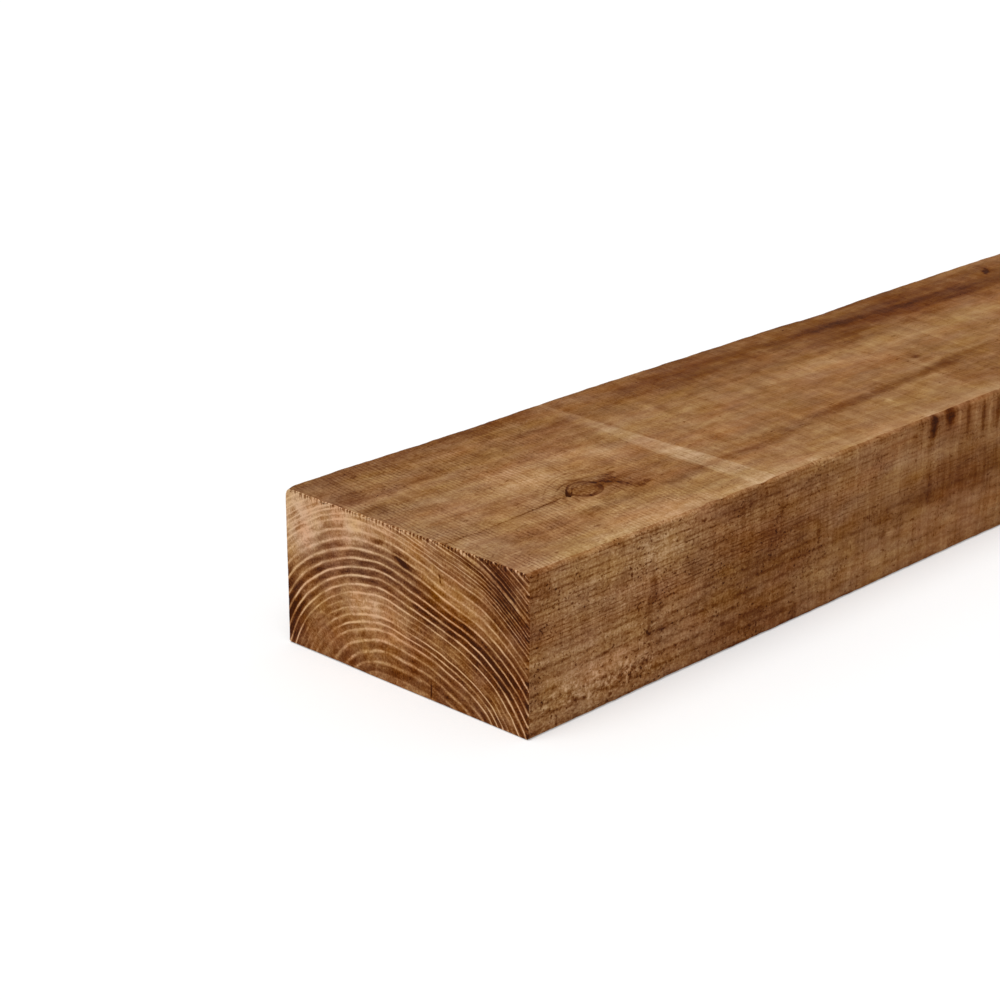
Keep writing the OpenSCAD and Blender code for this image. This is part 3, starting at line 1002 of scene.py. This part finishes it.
def build_baulk(mesh, shape):
    """Sweep the sawn section along the timber, wear it, and close it with a finely gridded near end."""
    outline, normals = section_outline(shape)
    fine_outline = finer(outline, END_FINENESS)
    fine_normals = finer(normals, END_FINENESS)
    girth = np.concatenate([[0], np.cumsum(np.linalg.norm(np.roll(outline, -1, 0) - outline, axis=1))])
    fine_girth = np.interp(np.arange(len(fine_outline) + 1) / END_FINENESS, np.arange(len(girth)), girth)
    bevel = shape.end_bevel / MM
    # Which strips of the skin take the narrow faces' finish; on the front it also runs up over the top
    # arris as painted shade, the darker side colour standing in for the shade of the rounding
    middle_normals = normals + np.roll(normals, -1, axis=0)
    tilt = np.abs(middle_normals[:, 0]) / np.hypot(*middle_normals.T)
    # Painted shade: the front top arris takes the darker narrow finish, as if turned away from the light
    narrow_and_arris_shade = (tilt > np.where(middle_normals[:, 0] < 0, 0.1, 0.7)).astype(int)

    def worn_rings(places, outline, normals):
        base = np.empty((len(places), len(outline), 3))
        base[..., 0] = np.array(places)[:, None]
        base[..., 1:] = outline
        pull = np.interp(base[..., 0], CHECK_X, CHECK_Y) - CHECK_COLUMN
        on_top = base[..., 2] > TOP - 0.01
        base[..., 1] += on_top * pull * np.exp(-((base[..., 1] - CHECK_COLUMN) / 25) ** 2)
        height = skin_relief(base, shape)
        for end, seed in ((0, 21), (LENGTH, 22)):
            height -= end_tearing(base, seed) * np.clip(1 - np.abs(base[..., 0] - end) / 3.5, 0, 1)
        base[..., 1:] += normals * height[..., None]
        return base

    near = worn_rings(NEAR_RINGS, fine_outline, fine_normals)
    rim = worn_rings((0.0,), fine_outline, fine_normals)[0]
    rim[:, 1:] -= fine_normals * bevel
    skin = worn_rings(stations(), outline, normals)
    far_rim = worn_rings((LENGTH,), outline, normals)[0]
    far_rim[:, 1:] -= normals * bevel

    vertices = []
    faces = []
    spots = []
    finishes = []

    def keep(points):
        first = sum(len(block) for block in vertices)
        vertices.append(points.reshape(-1, 3))
        return first + np.arange(points.size // 3).reshape(points.shape[:-1])

    def skin_spot(x, around):
        half = LENGTH / 2
        second = x[..., :1] * 0 + (x.mean(axis=-1, keepdims=True) > half)
        return np.stack([0.005 + 0.99 * (x - half * second) / half,
                         0.005 + 0.4 * second + 0.385 * around / girth[-1]], axis=-1)

    def wrap(ids):
        return np.concatenate([ids, ids[:, :1]], axis=1)

    def quads(ids, u, v, finish, spot):
        corners = np.stack([ids[:-1, :-1], ids[1:, :-1], ids[1:, 1:], ids[:-1, 1:]], axis=-1).reshape(-1, 4)
        where_u = np.stack([u[:-1, :-1], u[1:, :-1], u[1:, 1:], u[:-1, 1:]], axis=-1).reshape(-1, 4)
        where_v = np.stack([v[:-1, :-1], v[1:, :-1], v[1:, 1:], v[:-1, 1:]], axis=-1).reshape(-1, 4)
        faces.extend(corners.tolist())
        spots.append(spot(where_u, where_v).reshape(-1, 2))
        finishes.extend(np.broadcast_to(finish, ids[1:, 1:].shape).ravel().tolist())

    near_ids = keep(near)
    skin_ids = keep(skin)

    # Both ends: a grid whose outer ring is the rim, then the bevel that joins it to the skin
    for rim_points, fineness, seed, side in ((rim, END_FINENESS, 31, -1), (far_rim, 1, 32, 1)):
        columns = fineness * (WIDE_COLUMNS + ARRIS_STEPS)
        rows = fineness * (HIGH_COLUMNS + ARRIS_STEPS)
        start = fineness * ARRIS_STEPS // 2
        grid = end_grid(np.roll(rim_points, -start, axis=0), columns, rows)
        dish = 0.10 * waves(grid, (1e6, 12, 9), 20, seed) + 0.25 * waves(grid, (1e6, 90, 60), 8, seed + 5)
        border = np.ones(grid.shape[:2])
        border[1:-1, 1:-1] = 0
        grid[..., 0] -= side * np.abs(dish) * (1 - border)
        ids = keep(grid)
        edge = np.concatenate([ids[0, :-1], ids[:-1, -1], ids[-1, :0:-1], ids[:0:-1, 0]])
        edge = np.roll(edge, start)
        order = ids.T if side < 0 else ids
        flat_y = grid[..., 1].T if side < 0 else grid[..., 1]
        flat_z = grid[..., 2].T if side < 0 else grid[..., 2]
        left = 0.005 if side < 0 else 0.505
        quads(order, flat_y, flat_z, 2, lambda a, b, left=left: np.stack(
            [left + 0.4 * (a - FRONT) / WIDTH, 0.795 + 0.2 * b / TOP], axis=-1))
        around = fine_girth if side < 0 else girth
        inner = near_ids[:1] if side < 0 else skin_ids[-1:]
        pair = np.concatenate([edge[None], inner] if side < 0 else [inner, edge[None]])
        along = np.array([[0.0], [0.5]]) if side < 0 else np.array([[LENGTH - 0.5], [LENGTH]])
        ones = np.ones((1, len(around)))
        quads(wrap(pair), along * ones, np.ones((2, 1)) * around, 2, skin_spot)

    quads(wrap(near_ids), np.array(NEAR_RINGS)[:, None] * np.ones((1, len(fine_girth))),
          np.ones((len(NEAR_RINGS), 1)) * fine_girth, np.repeat(narrow_and_arris_shade, END_FINENESS), skin_spot)
    places = skin[:, 0, 0]
    quads(wrap(skin_ids), places[:, None] * np.ones((1, len(girth))),
          np.ones((len(places), 1)) * girth, narrow_and_arris_shade, skin_spot)

    # Fan that joins the fine rings of the near end to the skin's columns
    fine = np.append(near_ids[-1], near_ids[-1][0])
    coarse = np.append(skin_ids[0], skin_ids[0][0])
    for j in range(len(coarse) - 1):
        f = END_FINENESS * j
        fan = ((fine[f], coarse[j], fine[f + 1]),
               (fine[f + 1], coarse[j], coarse[j + 1], fine[f + 2]),
               (fine[f + 2], coarse[j + 1], fine[f + 3]))
        where = (((0, f), (1, j), (0, f + 1)), ((0, f + 1), (1, j), (1, j + 1), (0, f + 2)),
                 ((0, f + 2), (1, j + 1), (0, f + 3)))
        for face, corners in zip(fan, where):
            faces.append([int(v) for v in face])
            x = np.array([[NEAR_RINGS[-1], FIRST_STATION][row] for row, _ in corners])
            around = np.array([(fine_girth, girth)[row][k] for row, k in corners])
            spots.append(skin_spot(x, around))
            finishes.append(int(narrow_and_arris_shade[j]))

    points = np.concatenate(vertices)
    points[:, 0] -= LENGTH / 2
    mesh.from_pydata(points * MM, [], faces)
    mesh.polygons.foreach_set("material_index", finishes)
    mesh.polygons.foreach_set("use_smooth", [True] * len(faces))
    mesh.uv_layers.new(name="OFBake").data.foreach_set("uv", np.concatenate(spots).ravel())
    mesh.update()


class SLEEPER_OT_timber(bpy.types.Operator):
    """Build the sawn baulk"""

    bl_idname = "sleeper.timber"
    bl_label = "Sawn baulk"

    def execute(self, context):
        scene = context.scene
        mesh = bpy.data.meshes.new("sleeper_timber")
        build_baulk(mesh, scene.sleeper_shape)
        wood = scene.sleeper_wood
        mesh.materials.append(bandsawn_face(wood, "bandsawn_treated_pine_wide", WIDE_FACE, False))
        # The narrow finish also covers the front top arris, where it is painted shade
        mesh.materials.append(bandsawn_face(wood, "bandsawn_treated_pine_narrow", NARROW_FACE, True))
        mesh.materials.append(crosscut_end(wood))
        timber = bpy.data.objects.new("sleeper_timber", mesh)
        context.collection.objects.link(timber)
        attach(timber, "root")
        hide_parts("sleeper")
        return {"FINISHED"}


class SLEEPER_OT_stage(bpy.types.Operator):
    """Lay the floor, hang the lights and set the camera"""

    bl_idname = "sleeper.stage"
    bl_label = "Stage"

    def execute(self, context):
        scene = context.scene
        look = scene.sleeper_stage
        scene.view_settings.view_transform = "Standard"
        floor_mesh = bpy.data.meshes.new("floor")
        corners = [(FLOOR_REACH * x, FLOOR_REACH * y, FLOOR_LEVEL)
                   for x, y in ((-1, -1), (1, -1), (1, 1), (-1, 1))]
        floor_mesh.from_pydata(corners, [], [(0, 1, 2, 3)])
        floor = bpy.data.objects.new("floor", floor_mesh)
        context.collection.objects.link(floor)
        paint = bpy.data.materials.new("pale_studio_floor")
        paint.use_nodes = True
        tree = paint.node_tree
        tree.nodes.clear()
        matt = add(tree, "BsdfDiffuse", {"Color": (*look.floor, 1)})
        ray = add(tree, "LightPath", out="Is Camera Ray")
        lift = add(tree, "Math", (ray, FLOOR_GLOW), operation="MULTIPLY")
        glow = add(tree, "Emission", {"Strength": lift})
        both = add(tree, "AddShader", (matt, glow))
        add(tree, "OutputMaterial", (both,), out=())
        floor_mesh.materials.append(paint)

        world = bpy.data.worlds.new("studio")
        scene.world = world
        world.use_nodes = True
        tree = world.node_tree
        tree.nodes.clear()
        camera_ray, glossy_ray, through_ray = add(
            tree, "LightPath", out=("Is Camera Ray", "Is Glossy Ray", "Is Transmission Ray"))
        seen = add(tree, "Math", (camera_ray, glossy_ray), operation="MAXIMUM")
        seen = add(tree, "Math", (seen, through_ray), operation="MAXIMUM")
        strength = add(tree, "MapRange", (seen, 0, 1, look.fill, 1.0))
        sky = add(tree, "Background", {"Color": (1, 1, 1, 1), "Strength": strength})
        add(tree, "OutputWorld", (sky,), out=())

        lamp = bpy.data.lights.new("key", "SUN")
        lamp.energy = look.key
        lamp.angle = KEY_SPREAD
        key = bpy.data.objects.new("key", lamp)
        key.rotation_euler = Vector(KEY_FROM).to_track_quat("Z", "Y").to_euler()
        context.collection.objects.link(key)

        lens = bpy.data.cameras.new("camera")
        lens.lens = look.lens
        lens.sensor_width = SENSOR_WIDTH
        camera = bpy.data.objects.new("camera", lens)
        camera.location = CAMERA_PLACE
        aim = Euler((math.pi / 2 - CAMERA_PITCH, 0, CAMERA_HEADING - math.pi / 2)).to_matrix()
        camera.rotation_euler = (aim @ Matrix.Rotation(CAMERA_ROLL, 3, "Z")).to_euler()
        context.collection.objects.link(camera)
        scene.camera = camera
        return {"FINISHED"}


class SLEEPER_PT_panel(bpy.types.Panel):
    """Sizes, colours and steps of the sleeper"""

    bl_idname = "SLEEPER_PT_panel"
    bl_label = "Railway Sleeper"
    bl_space_type = "VIEW_3D"
    bl_region_type = "UI"
    bl_category = "Sleeper"

    def draw(self, context):
        for group in (context.scene.sleeper_shape, context.scene.sleeper_wood, context.scene.sleeper_stage):
            box = self.layout.box()
            for name in group.__annotations__:
                box.prop(group, name)
        self.layout.operator("sleeper.timber")
        self.layout.operator("sleeper.stage")


CLASSES = (SleeperShape, SleeperWood, SleeperStage, SLEEPER_OT_timber, SLEEPER_OT_stage, SLEEPER_PT_panel)


def register():
    for cls in CLASSES:
        bpy.utils.register_class(cls)
    bpy.types.Scene.sleeper_shape = bpy.props.PointerProperty(type=SleeperShape)
    bpy.types.Scene.sleeper_wood = bpy.props.PointerProperty(type=SleeperWood)
    bpy.types.Scene.sleeper_stage = bpy.props.PointerProperty(type=SleeperStage)


def unregister():
    del bpy.types.Scene.sleeper_stage
    del bpy.types.Scene.sleeper_wood
    del bpy.types.Scene.sleeper_shape
    for cls in reversed(CLASSES):
        bpy.utils.unregister_class(cls)


def main():
    register()
    bpy.ops.sleeper.timber()
    bpy.ops.sleeper.stage()


if __name__ == "__main__":
    main()
